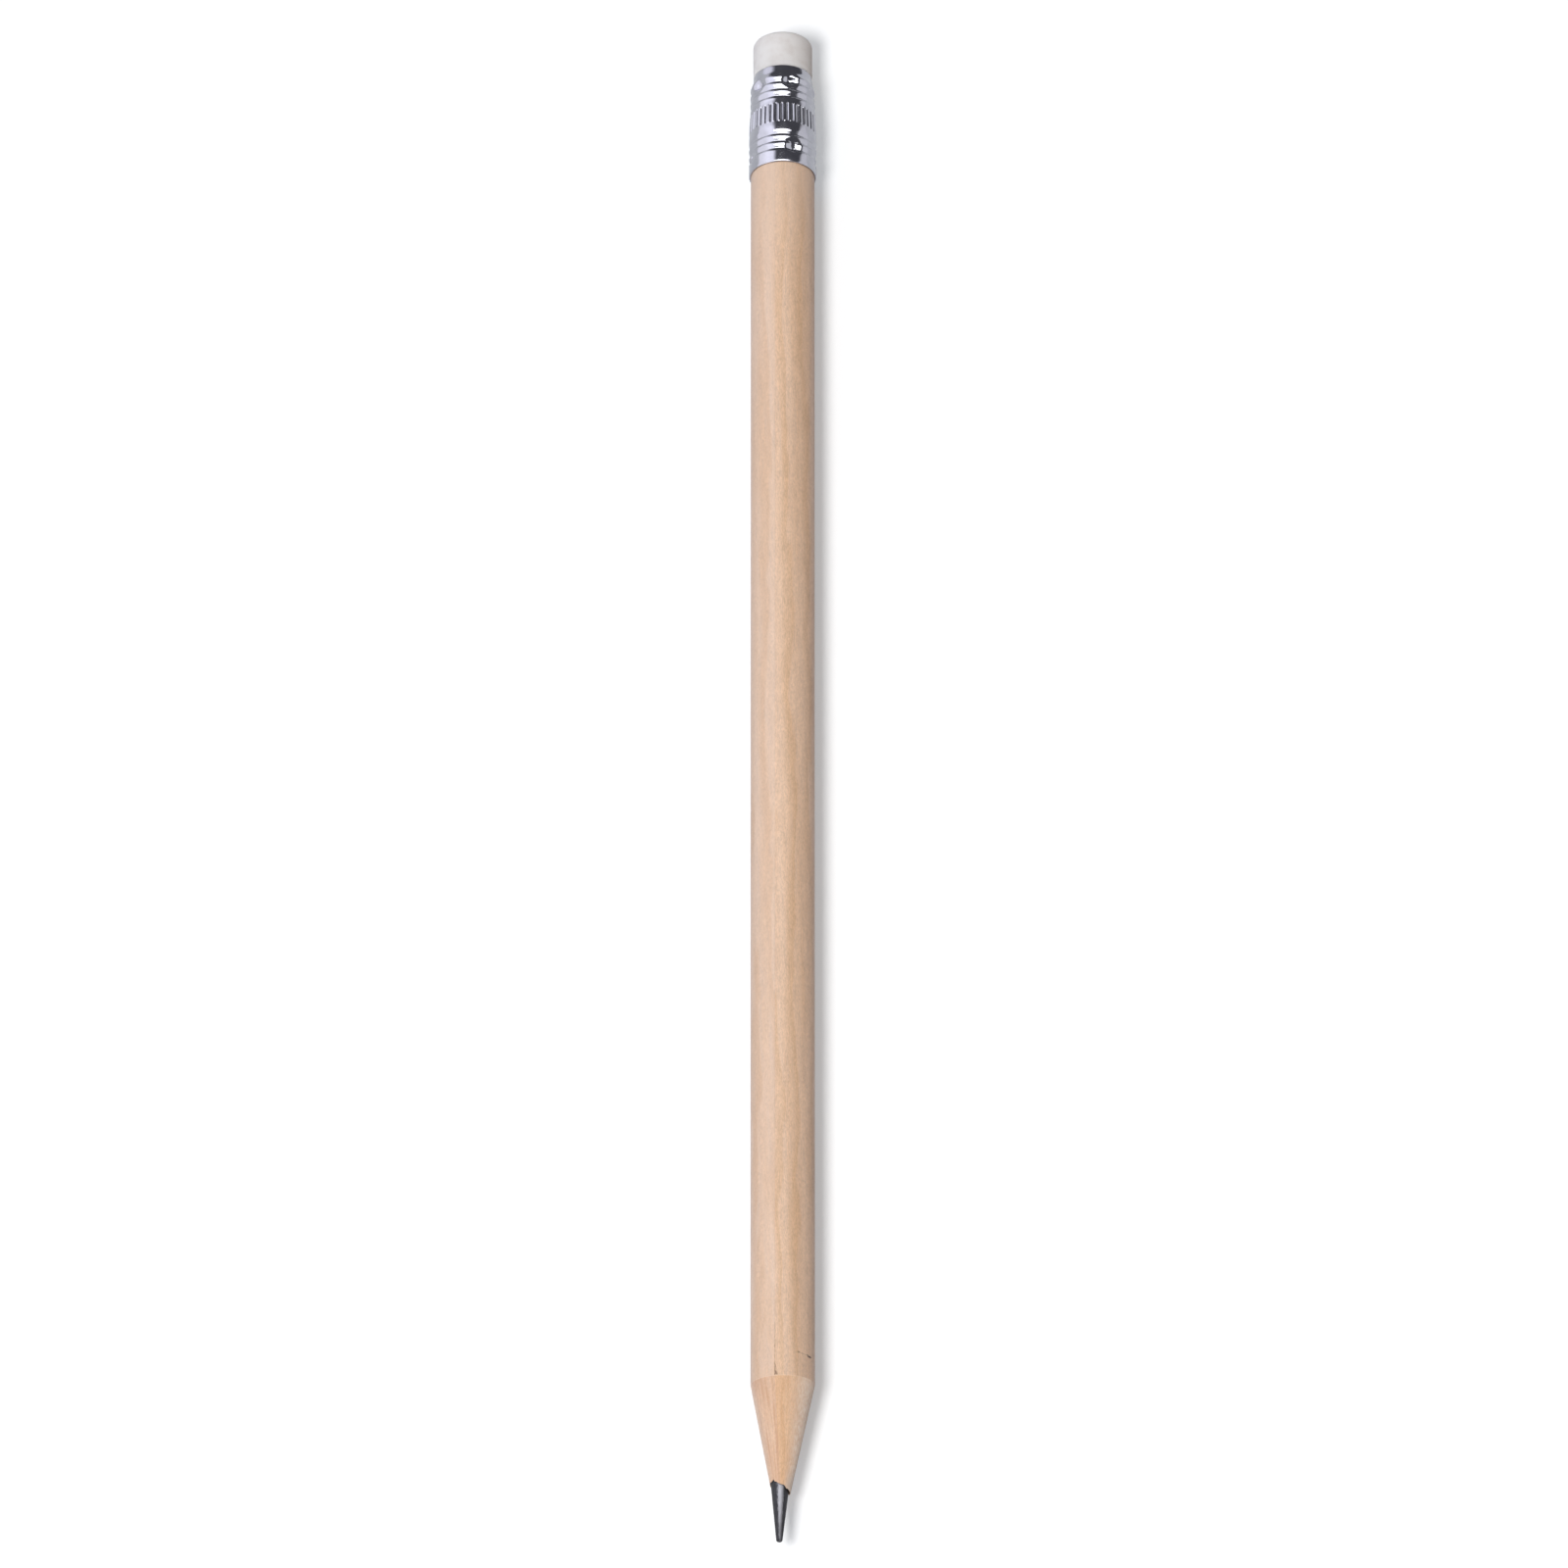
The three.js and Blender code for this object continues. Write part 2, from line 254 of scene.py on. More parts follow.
# Lamps by place, aim, width, length and power
KEY_LAMP = ((-0.78, -1.35, 2.33), (0, 0, 0), 0.82, 0.82, 56)
TOP_LAMP = ((-0.03, 0.26, 0.95), (0, 0.085, 0), 0.94, 0.48, 3.7)

# Camera, standing off square to the pencil on the point's side
VIEW_TILT = math.radians(31)
VIEW_LENS = 1500
VIEW_SENSOR = 36
VIEW_REACH = 20
FRAME_HEIGHT = 171 * MM
FRAME_MIDDLE = (0.14 * MM, 0.5 * MM)


# Modelling


def pick(piece):
    """Makes a piece the only one that is selected, and the active one."""
    bpy.ops.object.select_all(action="DESELECT")
    piece.select_set(True)
    bpy.context.view_layer.objects.active = piece


def new_ring(name, corners, y, radius, roll=0.0):
    """Starts a piece as one selected ring of edges round the pencil's axis, in edit mode."""
    bpy.ops.object.select_all(action="DESELECT")
    bpy.ops.mesh.primitive_circle_add(
        vertices=corners,
        radius=radius,
        fill_type="NOTHING",
        location=(0, y, AXIS_Z),
        rotation=(math.pi / 2, roll, 0),
    )
    piece = bpy.context.object
    piece.name = name
    piece.data.name = name
    bpy.ops.object.transform_apply(location=True, rotation=True, scale=True)
    bpy.ops.object.mode_set(mode="EDIT")
    bpy.context.tool_settings.mesh_select_mode = (True, False, False)
    return piece


def draw_out(start, stations, x=0.0):
    """Extrudes the selected ring through stations of (y, radius), and returns the last one."""
    y, radius = start
    for next_y, next_radius in stations:
        bpy.ops.mesh.extrude_region_move(TRANSFORM_OT_translate={"value": (0, next_y - y, 0)})
        widen = next_radius / radius
        bpy.ops.transform.resize(value=(widen, 1, widen), center_override=(x, next_y, AXIS_Z))
        y, radius = next_y, next_radius
    return y, radius


def slant_ring(middle, slope, axis):
    """Leans the selected ring along the pencil: turned round one axis, then stretched back to its width."""
    angle = math.asin(slope)
    stretch = {"Z": (1 / math.cos(angle), 1, 1), "X": (1, 1, 1 / math.cos(angle))}[axis]
    bpy.ops.transform.rotate(value=angle, orient_axis=axis, center_override=middle)
    bpy.ops.transform.resize(value=stretch, center_override=middle)


def select_where(piece, part, test):
    """Selects the vertices, edges or faces that pass a test of their place, and goes to edit mode."""
    modes = {
        "vertices": (True, False, False),
        "edges": (False, True, False),
        "polygons": (False, False, True),
    }
    bpy.context.tool_settings.mesh_select_mode = modes[part]
    bpy.ops.object.mode_set(mode="EDIT")
    bpy.ops.mesh.select_all(action="DESELECT")
    bpy.ops.object.mode_set(mode="OBJECT")
    mesh = piece.data
    for item in getattr(mesh, part):
        if part == "vertices":
            item.select = test(item.co)
        elif part == "polygons":
            item.select = test(item.center)
        else:
            item.select = test(*(mesh.vertices[end].co for end in item.vertices))
    bpy.ops.object.mode_set(mode="EDIT")


def close_up(piece):
    """Merges doubled points, turns every face outwards and leaves edit mode."""
    bpy.ops.object.mode_set(mode="EDIT")
    bpy.ops.mesh.select_all(action="SELECT")
    bpy.ops.mesh.remove_doubles(threshold=SAME_PLACE)
    bpy.ops.mesh.normals_make_consistent(inside=False)
    bpy.ops.object.mode_set(mode="OBJECT")


def apply_modifier(piece, kind, **settings):
    """Adds a modifier to the active piece and applies it."""
    modifier = piece.modifiers.new(kind.lower(), kind)
    for setting, value in settings.items():
        setattr(modifier, setting, value)
    bpy.ops.object.modifier_apply(modifier=modifier.name)


def smooth(piece, degrees):
    """Shades a piece smooth, except over edges sharper than an angle."""
    pick(piece)
    bpy.ops.object.shade_smooth_by_angle(angle=math.radians(degrees))


def on_surface(degrees, y, radius, x=0.0):
    """The point at an angle round from the top line."""
    angle = math.radians(degrees)
    return Vector((x + radius * math.sin(angle), y, AXIS_Z + radius * math.cos(angle)))


def press(piece, place, push, reach, falloff="SMOOTH"):
    """Pushes the point nearest a place, with all that lies within reach of it."""
    mesh = piece.data
    nearest = min(mesh.vertices, key=lambda vertex: (vertex.co - place).length_squared)
    for part in (mesh.vertices, mesh.edges, mesh.polygons):
        part.foreach_set("select", [False] * len(part))
    nearest.select = True
    bpy.context.tool_settings.mesh_select_mode = (True, False, False)
    bpy.ops.object.mode_set(mode="EDIT")
    bpy.ops.transform.translate(
        value=push,
        use_proportional_edit=True,
        proportional_edit_falloff=falloff,
        proportional_size=reach,
    )
    bpy.ops.object.mode_set(mode="OBJECT")


def flatten(piece, middle):
    """Evens out the ribs round the middle of a punch mark."""
    select_where(piece, "vertices", lambda place: (place - middle).length < PUNCH_FLAT)
    bpy.ops.mesh.vertices_smooth(factor=0.5, repeat=PUNCH_FLATTENING)
    bpy.ops.object.mode_set(mode="OBJECT")


def punch(piece, y, angles, radius, sheet=False):
    """Presses in one ring of punch marks. In sheet they flatten the ribs and end in three corners."""
    for degrees in angles:
        middle = on_surface(degrees, y, radius)
        inwards = (Vector((0, y, AXIS_Z)) - middle).normalized()
        if sheet:
            flatten(piece, middle)
        press(piece, middle, inwards * PUNCH_DEPTH, PUNCH_REACH)
        for corner in PUNCH_CORNERS if sheet else ():
            across = PUNCH_CORNER_OFFSET * math.cos(math.radians(corner))
            along = PUNCH_CORNER_OFFSET * math.sin(math.radians(corner))
            turned = degrees + math.degrees(across / radius)
            place = on_surface(turned, y + along, radius - PUNCH_DEPTH / 2)
            press(piece, place, inwards * PUNCH_CORNER_DEPTH, PUNCH_CORNER_REACH, "SHARP")


# Wood


def turned_casing(name):
    """Barrel, cone and bore as one closed tube, before it is parted at the seam."""
    start = (TENON_Y, TENON_RADIUS)
    piece = new_ring(name, WOOD_CORNERS, *start)
    tenon = [(SKIRT_Y + rise, TENON_RADIUS) for rise in TENON_RINGS]
    at_skirt = [(SKIRT_Y - SKIRT_CLEARANCE, radius) for radius in (TENON_RADIUS, BARREL_RADIUS)]
    near_shoulder = [(SHOULDER_Y + rise, BARREL_RADIUS) for rise in SHOULDER_RINGS]
    shoulder = draw_out(start, [*tenon, *at_skirt, *near_shoulder, (SHOULDER_Y, BARREL_RADIUS)])
    slant_ring((0, SHOULDER_Y, AXIS_Z), -SHOULDER_SLANT, "X")
    nose = draw_out(shoulder, [(NOSE_Y, NOSE_RADIUS)])
    bpy.ops.transform.resize(value=(1, 0, 1), center_override=(0, NOSE_Y, AXIS_Z))
    bpy.ops.transform.translate(value=(CORE_X, 0, 0))
    slant_ring((CORE_X, NOSE_Y, AXIS_Z), NOSE_SLANT, "Z")
    draw_out(nose, [(NOSE_Y + NOSE_EDGE, BORE_RADIUS), (TENON_Y, BORE_RADIUS)], x=CORE_X)
    bpy.ops.transform.resize(value=(1, 0, 1), center_override=(CORE_X, TENON_Y, AXIS_Z))

    def along_cone(a, b):
        low, high = sorted((a.y, b.y))
        return low < NOSE_Y + CONE_MARGIN and abs(high - SHOULDER_Y) < CONE_MARGIN

    select_where(piece, "edges", along_cone)
    bpy.ops.mesh.subdivide(number_cuts=CONE_CUTS)
    select_where(piece, "vertices", lambda place: abs(place.y - TENON_Y) < SAME_PLACE)
    bpy.ops.mesh.bridge_edge_loops()
    close_up(piece)
    punch(piece, WOOD_PUNCH_Y, WOOD_PUNCH_ANGLES, TENON_RADIUS)
    for degrees, rise, reach in NOSE_JAGS:
        place = on_surface(degrees, NOSE_Y, NOSE_RADIUS, CORE_X)
        place.y -= NOSE_SLANT * (place.x - CORE_X)
        press(piece, place, (0, rise * MM, 0), reach * MM, "SHARP")
    return piece


def slat(piece, side, planed, cut):
    """Parts a casing at its seam, to -1 for the left slat or 1 for the right one, with its two finishes."""
    across = Vector((math.cos(SEAM_ROLL), 0, -math.sin(SEAM_ROLL))) * side
    face = Vector((0, 0, AXIS_Z)) + across * SEAM_GAP / 2
    pick(piece)
    bpy.ops.object.mode_set(mode="EDIT")
    bpy.ops.mesh.select_all(action="SELECT")
    bpy.ops.mesh.bisect(
        plane_co=face,
        plane_no=across,
        use_fill=True,
        clear_inner=True,
        threshold=SEAM_THRESHOLD,
    )
    close_up(piece)
    smooth(piece, WOOD_SMOOTHING)
    piece.data.materials.append(planed)
    piece.data.materials.append(cut)

    def on_cone(middle):
        return middle.y < SHOULDER_Y - SHOULDER_SLANT * (middle.z - AXIS_Z)

    select_where(piece, "polygons", on_cone)
    piece.active_material_index = 1
    bpy.ops.object.material_slot_assign()
    bpy.ops.object.mode_set(mode="OBJECT")


def copied(piece, name):
    """A copy of a piece, with its own mesh."""
    pick(piece)
    bpy.ops.object.duplicate()
    copy = bpy.context.object
    copy.name = name
    copy.data.name = name
    return copy


# Graphite


def lead(name):
    """The core's rod inside the wood, and its bare cone with a blunt worn tip."""
    piece = new_ring(name, LEAD_CORNERS, TENON_Y, CORE_RADIUS)
    bpy.ops.mesh.edge_face_add()
    bpy.ops.transform.translate(value=(CORE_X, 0, 0))
    station = draw_out((TENON_Y, CORE_RADIUS), [(LEAD_CONE_Y, CORE_RADIUS)], x=CORE_X)
    lean = (TIP_X - CORE_X) / LEAD_STEPS
    for step in range(1, LEAD_STEPS + 1):
        share = step / LEAD_STEPS
        y = LEAD_CONE_Y + share * (LEAD_BLUNT_Y - LEAD_CONE_Y)
        radius = CORE_RADIUS + share * (TIP_RADIUS - CORE_RADIUS)
        x = CORE_X + share * (TIP_X - CORE_X)
        station = draw_out(station, [(y, radius)], x=x - lean)
        bpy.ops.transform.translate(value=(lean, 0, 0))
    draw_out(station, [(TIP_Y + rise * MM, TIP_RADIUS * share) for rise, share in TIP_WEAR], x=TIP_X)
    bpy.ops.mesh.edge_face_add()
    close_up(piece)
    smooth(piece, LEAD_SMOOTHING)
    return piece


# Ferrule


def ribs(start, radius):
    """Stations over the rolled grooves."""
    return [
        (start + (rib + along) * RIB_PITCH, radius - depth * RIB_DEPTH)
        for rib in range(RIB_COUNT)
        for along, depth in RIB_DROP + RIB_BEAD
    ]


def sleeve_outside():
    """Stations up the outside of the sleeve, from just over its skirt's edge to its lip."""
    narrowing = GRIP_RADIUS - SKIRT_RADIUS
    return [
        *[(SKIRT_Y + rise, SKIRT_RADIUS) for rise in SKIRT_RINGS],
        (LOWER_RIBS_Y, SKIRT_RADIUS),
        *ribs(LOWER_RIBS_Y, SKIRT_RADIUS),
        (LOWER_RIBS_END_Y + LOWER_LAND / 2, SKIRT_RADIUS),
        *[
            (
                FLUTES_Y + share * FLUTE_LENGTH,
                SKIRT_RADIUS + narrowing * (NARROWED_BEFORE + NARROWED_ALONG * share),
            )
            for share in FLUTE_RINGS
        ],
        (UPPER_RIBS_Y - UPPER_LAND_EDGE, GRIP_RADIUS),
        (UPPER_RIBS_Y, GRIP_RADIUS),
        *ribs(UPPER_RIBS_Y, GRIP_RADIUS),
        *[(UPPER_RIBS_END_Y + share * NECK_STEP, GRIP_RADIUS - inset * MM) for share, inset in NECK_CURVE],
        (NECK_Y + NECK_EDGE, NECK_RADIUS),
        (LIP_Y - NECK_BEND, NECK_RADIUS - NECK_BEND_TAPER),
        (LIP_Y - EDGE_ROUNDING, LIP_RADIUS),
    ]


def sleeve_inside(start):
    """Stations over the lip and down the plain inside of the sleeve, back to where it started."""
    inner_lip = LIP_RADIUS - SHEET
    inner_skirt = SKIRT_RADIUS - SHEET
    return [
        (LIP_Y, LIP_RADIUS - EDGE_ROUNDING),
        (LIP_Y, inner_lip + EDGE_ROUNDING),
        (LIP_Y - EDGE_ROUNDING, inner_lip),
        (NECK_Y, NECK_RADIUS - SHEET),
        (UPPER_RIBS_END_Y, GRIP_RADIUS - SHEET),
        (UPPER_RIBS_Y, GRIP_RADIUS - SHEET),
        (LOWER_RIBS_END_Y, inner_skirt),
        (LOWER_RIBS_Y, inner_skirt),
        (SKIRT_Y + EDGE_ROUNDING, inner_skirt),
        (SKIRT_Y, inner_skirt + EDGE_ROUNDING),
        (SKIRT_Y, SKIRT_RADIUS - EDGE_ROUNDING),
        start,
    ]


def ferrule(name):
    """A closed sleeve of thin sheet: ribs, pressed flutes, punch marks and a rolled-in neck."""
    start = (SKIRT_Y + EDGE_ROUNDING, SKIRT_RADIUS)
    piece = new_ring(name, FLUTE_COLUMNS * FLUTE_COUNT, *start, roll=FLUTE_PHASE)
    lip = draw_out(start, sleeve_outside())
    draw_out(lip, sleeve_inside(start))
    close_up(piece)

    def in_flutes(middle, side):
        turn = math.atan2(middle.x, middle.z - AXIS_Z) - FLUTE_PHASE
        between = FLUTES_Y < middle.y < FLUTES_END_Y
        outside = math.hypot(middle.x, middle.z - AXIS_Z) > GRIP_RADIUS - SHEET / 2
        return between and outside and side * math.cos(turn * FLUTE_COUNT) > 0

    for side, height in ((1, -FLUTE_DEPTH), (-1, FLUTE_RISE)):
        select_where(piece, "polygons", lambda middle: in_flutes(middle, side))
        for width, share in FLUTE_WALL:
            bpy.ops.mesh.inset(thickness=width * MM, depth=share * height)
        bpy.ops.object.mode_set(mode="OBJECT")
    apply_modifier(piece, "SUBSURF", levels=1, render_levels=1)
    punch(piece, WOOD_PUNCH_Y, WOOD_PUNCH_ANGLES, SKIRT_RADIUS, sheet=True)
    punch(piece, ERASER_PUNCH_Y, ERASER_PUNCH_ANGLES, GRIP_RADIUS, sheet=True)
    waves = bpy.data.textures.new("sheet_waves", "CLOUDS")
    waves.noise_scale = WAVE_SIZE
    apply_modifier(piece, "DISPLACE", texture=waves, strength=WAVE_HEIGHT)
    smooth(piece, SHEET_SMOOTHING)
    return piece


# Eraser


def eraser(name):
    """A plug of rubber, pinched by the neck and rounded at its end."""
    start = (TENON_Y + ERASER_SEAT, ERASER_RADIUS)
    piece = new_ring(name, ERASER_CORNERS, *start)
    bpy.ops.mesh.edge_face_add()
    pinched = LIP_RADIUS - SHEET - ERASER_CLEARANCE
    turns = [step / ROUNDING_STEPS * math.pi / 2 for step in range(ROUNDING_STEPS + 1)]
    draw_out(
        start,
        [
            *[(UPPER_RIBS_Y + rise, ERASER_RADIUS) for rise in GRIPPED_RINGS],
            (NECK_Y, pinched),
            (LIP_Y - ERASER_CLEARANCE, pinched),
            *[(LIP_Y + rise * MM, ERASER_RADIUS - inset * MM) for rise, inset in ERASER_SWELL],
            *[
                (
                    END_Y - ERASER_ROUNDING * (1 - math.sin(turn)),
                    ERASER_RADIUS - ERASER_ROUNDING * (1 - math.cos(turn)),
                )
                for turn in turns
            ],
            *[(END_Y + rise * MM, radius * MM) for rise, radius in ERASER_CROWN],
        ],
    )
    bpy.ops.mesh.edge_face_add()
    close_up(piece)
    punch(piece, ERASER_PUNCH_Y, ERASER_PUNCH_ANGLES, ERASER_RADIUS)
    smooth(piece, ERASER_SMOOTHING)
    return piece


# Finishes


class Nodes:
    """A node tree under construction, whose inputs are given as values or as other nodes' outputs."""

    def __init__(self, tree):
        self.tree = tree

    def add(self, kind, inputs=None, **settings):
        node = self.tree.nodes.new(kind)
        for setting, value in settings.items():
            setattr(node, setting, value)
        for name, value in (inputs or {}).items():
            self.plug(node.inputs[name], value)
        return node

    def plug(self, socket, value):
        if isinstance(value, bpy.types.NodeSocket):
            self.tree.links.new(value, socket)
        else:
            socket.default_value = value

    def ramp(self, value, low, high, out_low=0.0, out_high=1.0):
        """A value eased from one range to another, and held at its ends."""
        ends = {"From Min": low, "From Max": high, "To Min": out_low, "To Max": out_high}
        node = self.add("ShaderNodeMapRange", {"Value": value, **ends}, interpolation_type="SMOOTHSTEP")
        return node.outputs["Result"]

    def maths(self, operation, first, second=0.0):
        return self.add("ShaderNodeMath", {0: first, 1: second}, operation=operation).outputs[0]

    def mix(self, share, first, second, blend="MIX"):
        node = self.add("ShaderNodeMix", {0: share, 6: first, 7: second}, data_type="RGBA", blend_type=blend)
        return node.outputs[2]


class Finish(Nodes):
    """A material under construction, on the piece's own place in the frame."""

    def __init__(self, name):
        self.material = bpy.data.materials.new(name)
        self.material.use_nodes = True
        super().__init__(self.material.node_tree)
        self.shader = self.tree.nodes["Principled BSDF"]
        self.place = self.add("ShaderNodeTexCoord").outputs["Object"]

    def set(self, **inputs):
        """Sets the shader's own sockets by their names, written small and with underscores."""
        for name, value in inputs.items():
            socket = name.replace("_", " ").title().replace("Ior", "IOR")
            self.plug(self.shader.inputs[socket], value)

    def framed(self, middle, size, turn=(0, 0, 0), where=None):
        """Coordinates centred on a place, turned, and counted in a size."""
        inputs = {"Vector": where or self.place, "Location": middle, "Rotation": turn, "Scale": size}
        return self.add("ShaderNodeMapping", inputs, vector_type="TEXTURE").outputs[0]

    def noise(self, size, seed, detail=2.0, turn=0.0, where=None):
        """Noise with features of a real size, across, along and up, in millimetres."""
        place = self.framed((0, 0, AXIS_Z), [side * MM for side in size], (0, 0, turn), where)
        inputs = {"Vector": place, "W": seed, "Scale": 1.0, "Detail": detail}
        return self.add("ShaderNodeTexNoise", inputs, noise_dimensions="4D").outputs["Fac"]

    def parts(self, vector):
        return self.add("ShaderNodeSeparateXYZ", {0: vector}).outputs

    def vector(self, operation, first, second=(0, 0, 0)):
        return self.add("ShaderNodeVectorMath", {0: first, 1: second}, operation=operation).outputs

    def spot(self, degrees, y, radius, width, length, turn=0.0):
        """How far inside an oval spot on the surface a place lies, from 0 to 1."""
        middle = on_surface(degrees, y, radius)
        flat = self.framed(middle, (1, 1, 1), (0, math.radians(degrees), 0))
        oval = self.framed((0, 0, 0), (width / 2, length / 2, 0.5 * MM), (0, 0, math.radians(turn)), flat)
        return self.ramp(self.vector("LENGTH", oval)["Value"], 0.3, 1.15, 1, 0)

    def bump(self, height, distance, strength=1.0):
        inputs = {"Height": height, "Distance": distance, "Strength": strength}
        self.set(normal=self.add("ShaderNodeBump", inputs).outputs[0])


def grain(finish, colours, ring_x, contrast):
    """Growth rings, wavy streaks, fibres and pores, which both finishes of a slat share."""
    pale, warm, dull, ochre = colours
    wave = finish.ramp(finish.noise((1.1, 4.5, 1.1), GRAIN_SEED + 9), 0.25, 0.75, -0.22 * MM, 0.22 * MM)
    shift = finish.add("ShaderNodeCombineXYZ", {"X": wave, "Z": wave}).outputs[0]
    wavy = finish.vector("ADD", finish.place, shift)["Vector"]
    bands = finish.noise((1.6, 45, 1.6), GRAIN_SEED, 2, GRAIN_DRIFT)
    patches = finish.noise((0.8, 2.6, 0.8), GRAIN_SEED + 1, 2, GRAIN_DRIFT)
    streaks = finish.noise((0.32, 10, 0.32), GRAIN_SEED + 2, 3, GRAIN_DRIFT, wavy)
    fibres = finish.noise((0.09, 1.4, 0.09), GRAIN_SEED + 4, 2, GRAIN_DRIFT, wavy)
    pores = finish.noise((0.1, 0.4, 0.1), GRAIN_SEED + 6, 1, GRAIN_DRIFT, wavy)
    mottle = finish.noise((0.13, 0.4, 0.13), GRAIN_SEED + 7, 3, GRAIN_DRIFT, wavy)
    wander = finish.noise((3, 16, 3), GRAIN_SEED + 8, 4)
    sheets = finish.framed((ring_x, 0, AXIS_Z), [RING_PITCH] * 3, (0, RING_TURN, GRAIN_DRIFT / 2))
    sheets = finish.maths("ADD", finish.parts(sheets)["X"], finish.ramp(wander, 0.2, 0.8, -0.4, 0.4))
    ring = finish.maths("FRACT", sheets)
    darkening = finish.ramp(ring, 0.35, 0.88, 0, 0.36)
    latewood = finish.maths("MULTIPLY", darkening, finish.ramp(ring, 0.88, 1, 1, 0))
    colour = finish.mix(finish.ramp(bands, 0.36, 0.64, 0.05, 0.75), pale, warm)
    colour = finish.mix(finish.ramp(streaks, 0.45, 0.75, 0, 0.5), colour, dull)
    colour = finish.mix(latewood, colour, ochre)

    def shade(noise, dark, light):
        return finish.ramp(noise, 0.3, 0.7, 1 - dark * contrast, 1 + light * contrast)

    fibrous = shade(fibres, 0.065, 0.045)
    pitted = finish.ramp(pores, 0.58, 0.7, 1, 1 - 0.06 * contrast)
    relief = finish.maths("MULTIPLY", fibrous, pitted)
    relief = finish.maths("MULTIPLY", relief, shade(mottle, 0.1, 0.07))
    relief = finish.maths("MULTIPLY", relief, shade(patches, 0.04, 0.03))
    shades = finish.add("ShaderNodeCombineColor", {0: relief, 1: relief, 2: relief}).outputs[0]
    return finish.mix(1.0, colour, shades, "MULTIPLY"), relief


def seam_shade(finish):
    """The glue seam: a faint line, dark and broken just behind the shoulder."""
    across = finish.parts(finish.framed((0, 0, AXIS_Z), (MM, MM, MM), (0, SEAM_ROLL, 0)))["X"]
    ragged = finish.noise((0.3, 0.5, 0.3), 31, 2)
    across = finish.maths("ADD", across, finish.ramp(ragged, 0.25, 0.75, -0.04, 0.04))
    line = finish.ramp(finish.maths("ABSOLUTE", across), 0.01, 0.08, 1, 0)
    along = finish.parts(finish.place)["Y"]
    near = finish.ramp(along, SHOULDER_Y - 0.6 * MM, SHOULDER_Y + SEAM_FADE, 0.9, 0.1)
    broken = finish.ramp(finish.noise((0.4, 0.9, 0.4), 37, 2), 0.38, 0.6, 0.25, 1)
    return finish.maths("MULTIPLY", line, finish.maths("MULTIPLY", near, broken))


def planed_wood(name, colours, ring_x, contrast, nicks=()):
    """Barrel wood, planed and sanded, paler below the ferrule, with its seam and its nicks."""
    finish = Finish(name)
    colour, relief = grain(finish, colours, ring_x, contrast)
    bleached = finish.ramp(finish.parts(finish.place)["Y"], SKIRT_Y - BLEACHED_LENGTH, SKIRT_Y, 0, 0.4)
    colour = finish.mix(bleached, colour, BLEACHED_TONE)
    colour = finish.mix(seam_shade(finish), colour, SEAM_TONE)
    for degrees, from_tip, width, length, turn, depth in nicks:
        spot = finish.spot(degrees, TIP_Y + from_tip * MM, BARREL_RADIUS, width * MM, length * MM, turn)
        colour = finish.mix(finish.maths("MULTIPLY", spot, depth), colour, NICK_TONE)
    finish.set(base_color=colour, roughness=finish.ramp(relief, 0.88, 1.05, 0.48, 0.36))
    finish.set(sheen_weight=0.22, sheen_roughness=0.35, sheen_tint=(0.75, 0.82, 1, 1))
    finish.set(specular_ior_level=0.4)
    finish.bump(relief, 0.08 * MM, 0.5)
    return finish.material


def cut_wood(name, colours, ring_x, fibre_depth, side_light_and_fuzz):
    """Cone wood as the sharpener leaves it: fibres that run to the point, a pale ripped rim, dust, and
    painted light on its right side, broken by fuzzy tufts.
    """
    finish = Finish(name)
    colour, relief = grain(finish, colours, ring_x, CUT_CONTRAST)
    centred = finish.framed((0, 0, AXIS_Z), (1, 1, 1))
    outwards = finish.vector("NORMALIZE", finish.vector("MULTIPLY", centred, (1, 0, 1))["Vector"])["Vector"]
    outwards = finish.vector("MULTIPLY", outwards, (13, 0, 13))["Vector"]
    down = finish.vector("MULTIPLY", centred, (0, 1 / (5 * MM), 0))["Vector"]
    fan = finish.vector("ADD", outwards, down)["Vector"]
    rays = finish.noise([1 / MM] * 3, GRAIN_SEED + 10, 3, where=fan)
    depth = finish.ramp(rays, 0.42, 0.72, 0, fibre_depth)
    colour = finish.mix(depth, colour, colours[3])
    split = finish.parts(centred)
    slant = finish.maths("MULTIPLY", split["Z"], SHOULDER_SLANT)
    behind = finish.maths("SUBTRACT", SHOULDER_Y, finish.maths("ADD", split["Y"], slant))
    rim = finish.ramp(behind, 0.04 * MM, 0.13 * MM, 0.3, 0)
    angle = finish.maths("ARCTAN2", split["X"], split["Z"])
    tufts = finish.noise((0.17, 0.6, 0.17), GRAIN_SEED + 12, 5)
    # Painted light: the cone turns paler towards its right side, broken up by fuzzy tufts
    side = finish.ramp(angle, math.radians(5), math.radians(60), 0, side_light_and_fuzz)
    tufts_and_side_light = finish.maths("MULTIPLY", side, finish.ramp(tufts, 0.36, 0.66, 0.4, 1))
    colour = finish.mix(finish.maths("MAXIMUM", rim, tufts_and_side_light), colour, PALE_FUZZ_AND_LIGHT_TONE)
    near_lead = finish.ramp(split["Y"], NOSE_Y, NOSE_Y + DUST_LENGTH, 0.65, 0)
    dust = finish.maths("MULTIPLY", near_lead, finish.ramp(angle, 0, math.radians(35)))
    colour = finish.mix(dust, colour, DUST_TONE)
    finish.set(base_color=colour, roughness=finish.ramp(relief, 0.9, 1.03, 0.85, 0.7))
    finish.set(specular_ior_level=0.45, sheen_weight=0.5, sheen_roughness=0.5)
    finish.bump(relief, 0.12 * MM, 0.7)
    return finish.material


